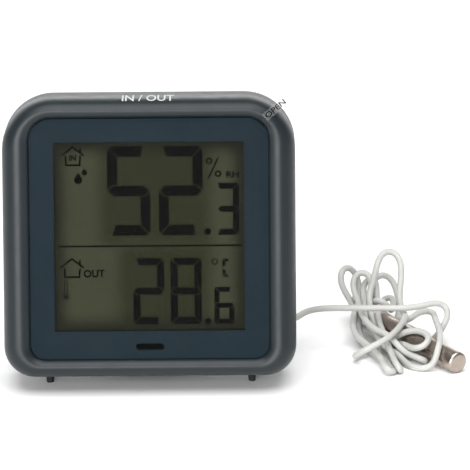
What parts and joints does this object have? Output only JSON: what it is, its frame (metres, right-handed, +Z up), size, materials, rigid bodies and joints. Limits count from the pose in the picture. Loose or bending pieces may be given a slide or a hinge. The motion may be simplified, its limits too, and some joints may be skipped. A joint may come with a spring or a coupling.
{
  "type": "maximum minimum thermometer",
  "caption": "Digital indoor and outdoor max-min thermometer with hygrometer: rounded case, display, fold-out stand, battery bay and steel probe on a thin cable.",
  "frame": {"origin": "on the ground, under the middle of the box round the body, its feet and its open stand (cable and probe left out)", "axes": "+X to the right across the front, +Y towards the back, +Z up"},
  "size_m": [0.127, 0.064, 0.0837],
  "materials": {
    "rim_shell": "satin",
    "panel": "satin",
    "lens": "gloss",
    "film": "gloss",
    "display": "satin",
    "white_plastic": "matte",
    "conductive_rubber": "matte",
    "board": "satin",
    "resin": "gloss",
    "plated_metal": "satin",
    "sensor_white": "matte",
    "bead": "satin",
    "switch_black": "matte",
    "cell_wrap": "gloss",
    "cover_plastic": "satin",
    "button_rubber": "matte",
    "foot_rubber": "matte",
    "pin_steel": "satin",
    "cord_pvc": "satin",
    "gland_rubber": "matte",
    "probe_steel": "satin",
    "potting": "matte"
  },
  "bodies": {
    "body": {"front_shell": "rim_shell", "front_panel": "panel", "window_lens": "lens", "screen_film": "film", "lcd_glass": "display", "lcd_frame": "white_plastic", "rubber_strips": "conductive_rubber", "main_board": "board", "chip_blob": "resin", "clock_crystal": "plated_metal", "humidity_sensor": "sensor_white", "room_thermistor": "bead", "push_switches": "switch_black", "board_screws": "plated_metal", "rear_shell": "rim_shell", "case_screws": "plated_metal", "battery_upper": "cell_wrap", "battery_lower": "cell_wrap", "contact_plates": "plated_metal", "contact_springs": "plated_metal", "stand_pin": "pin_steel", "rubber_feet": "foot_rubber", "cable_gland": "gland_rubber", "inner_lead": "cord_pvc", "probe_cable": "cord_pvc", "cable_bundle": "cord_pvc", "probe_sleeve": "probe_steel", "probe_boot": "gland_rubber", "probe_potting": "potting", "probe_bead": "bead"},
    "stand": {"stand_leg": "cover_plastic"},
    "cover": {"battery_cover": "cover_plastic"},
    "max_min_key": {"max_min_button": "button_rubber"},
    "clear_key": {"clear_button": "button_rubber"},
    "unit_key": {"unit_button": "button_rubber"}
  },
  "joints": [
    {"name": "stand_fold", "type": "hinge", "parent": "body", "child": "stand", "pos_m": [0, 0.00138, 0.0082], "axis": [1, 0, 0], "range_deg": [0, 102]},
    {"name": "cover_lift", "type": "slide", "parent": "body", "child": "cover", "axis": [0, 0.9848, -0.1736], "range_m": [0, 0.025]},
    {"name": "max_min_press", "type": "slide", "parent": "body", "child": "max_min_key", "axis": [0, -0.9848, 0.1736], "range_m": [0, 0.0005], "stiffness_N_per_m": 1000},
    {"name": "clear_press", "type": "slide", "parent": "body", "child": "clear_key", "axis": [0, -0.9848, 0.1736], "range_m": [0, 0.0005], "stiffness_N_per_m": 1000},
    {"name": "unit_press", "type": "slide", "parent": "body", "child": "unit_key", "axis": [0, -0.9848, 0.1736], "range_m": [0, 0.0005], "stiffness_N_per_m": 1000}
  ]
}
